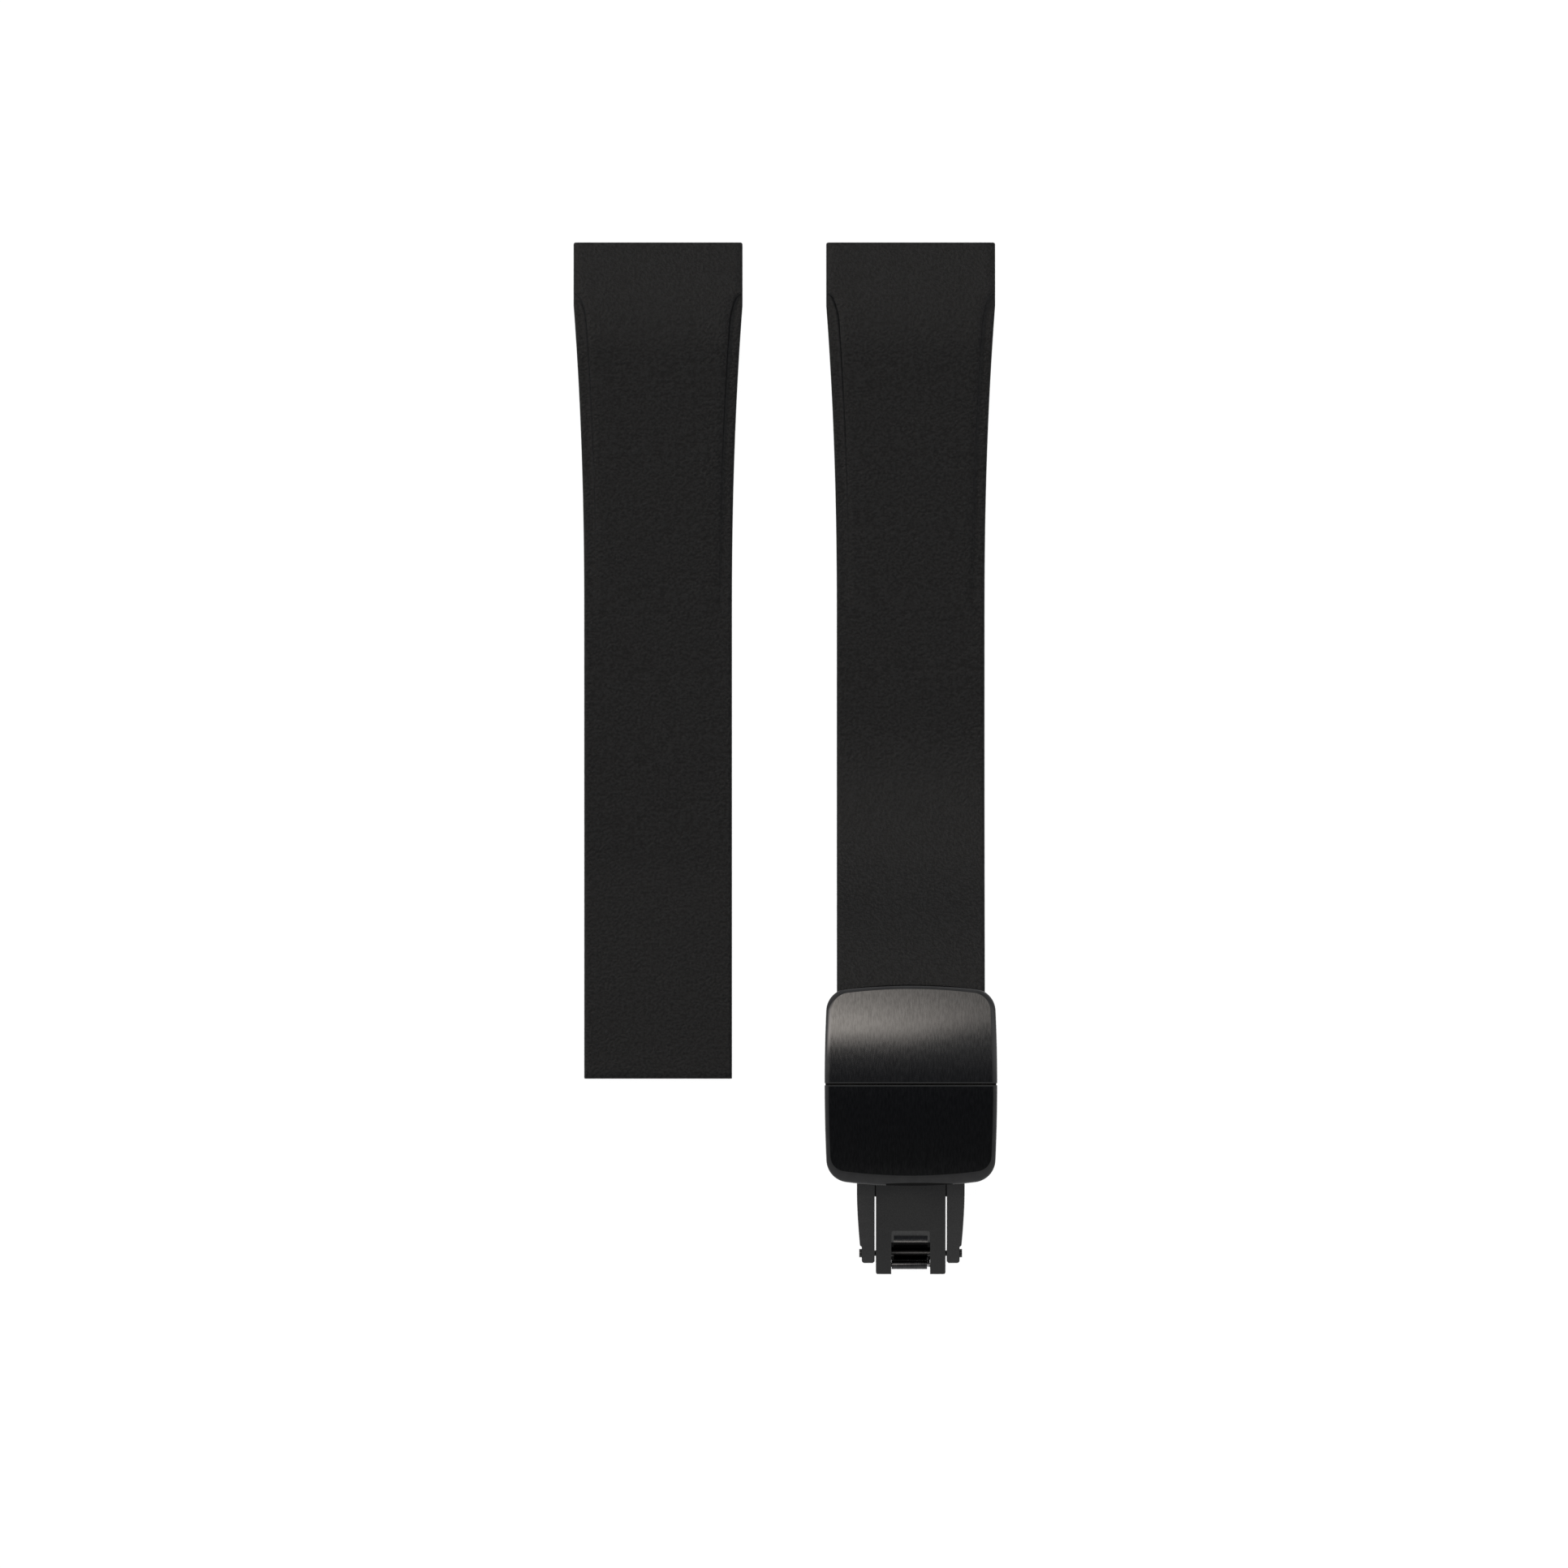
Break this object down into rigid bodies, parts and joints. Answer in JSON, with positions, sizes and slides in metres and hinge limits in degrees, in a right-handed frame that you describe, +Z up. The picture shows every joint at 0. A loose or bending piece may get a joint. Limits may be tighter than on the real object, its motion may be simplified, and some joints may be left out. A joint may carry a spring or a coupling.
{
  "type": "watch strap",
  "caption": "Rubber watch strap in two tapering halves with a double folding clasp, laid flat side by side",
  "frame": {"origin": "centre of the bounding box at the height of the surface that the halves lie on", "axes": "+Y from the clasp to the lug ends, +Z up from the wrist side, +X towards the clasp half"},
  "size_m": [0.05, 0.1222, 0.012],
  "materials": {
    "rubber": "matte black rubber with a fine grain",
    "cover_steel": "black coated steel, brushed along the strap, with polished bevels",
    "black_steel": "satin black coated steel",
    "bright_steel": "plain turned steel"
  },
  "bodies": {
    "base": {"base_blade": "black_steel"},
    "lower_fork": {"lower_link_left": "black_steel", "lower_link_right": "black_steel", "lower_base_pin": "black_steel", "lower_plate_pin": "black_steel"},
    "lower_carrier": {"lower_plate": "black_steel", "lower_cover": "cover_steel", "lower_cover_screws": "black_steel", "lower_strap_screw": "black_steel", "lower_bar_sleeve": "bright_steel", "lower_bar_tip_left": "bright_steel", "lower_bar_spring": "bright_steel"},
    "lower_tip": {"lower_bar_tip_right": "bright_steel"},
    "upper_fork": {"upper_link_left": "black_steel", "upper_link_right": "black_steel", "upper_base_pin": "black_steel", "upper_plate_pin": "black_steel"},
    "upper_carrier": {"upper_plate": "black_steel", "upper_cover": "cover_steel", "upper_cover_screws": "black_steel", "upper_strap_screw": "black_steel", "upper_bar_sleeve": "bright_steel", "upper_bar_tip_left": "bright_steel", "upper_bar_spring": "bright_steel", "clasp_strap": "rubber", "clasp_lug_tube": "bright_steel"},
    "upper_tip": {"upper_bar_tip_right": "bright_steel"},
    "tail_half": {"tail_strap": "rubber", "tail_lug_tube": "bright_steel"}
  },
  "joints": [
    {"name": "lower_fork_hinge", "type": "hinge", "parent": "base", "child": "lower_fork", "pos_m": [0.01485, -0.0586, 0.00156], "axis": [1, 0, 0], "range_deg": [0, 165]},
    {"name": "lower_plate_hinge", "type": "hinge", "parent": "lower_fork", "child": "lower_carrier", "pos_m": [0.01485, -0.04111, 0.00699], "axis": [1, 0, 0], "range_deg": [-165, 0]},
    {"name": "lower_tip_slide", "type": "slide", "parent": "lower_carrier", "child": "lower_tip", "axis": [-1, 0, 0], "range_m": [0, 0.0008], "stiffness_N_per_m": 400, "springref_m": -0.003, "deforming": ["lower_bar_spring"]},
    {"name": "upper_fork_hinge", "type": "hinge", "parent": "base", "child": "upper_fork", "pos_m": [0.01485, -0.01843, 0.00156], "axis": [-1, 0, 0], "range_deg": [0, 165]},
    {"name": "upper_plate_hinge", "type": "hinge", "parent": "upper_fork", "child": "upper_carrier", "pos_m": [0.01485, -0.03592, 0.00699], "axis": [-1, 0, 0], "range_deg": [-165, 0]},
    {"name": "upper_tip_slide", "type": "slide", "parent": "upper_carrier", "child": "upper_tip", "axis": [-1, 0, 0], "range_m": [0, 0.0008], "stiffness_N_per_m": 400, "springref_m": -0.003, "deforming": ["upper_bar_spring"]},
    {"name": "tail_lift_off", "type": "slide", "parent": "base", "child": "tail_half", "axis": [0, 0, 1], "range_m": [0, 0.03]}
  ],
  "couplings": [
    {"joint": "lower_plate_hinge", "follows": "lower_fork_hinge", "ratio": -1},
    {"joint": "upper_plate_hinge", "follows": "upper_fork_hinge", "ratio": -1}
  ]
}
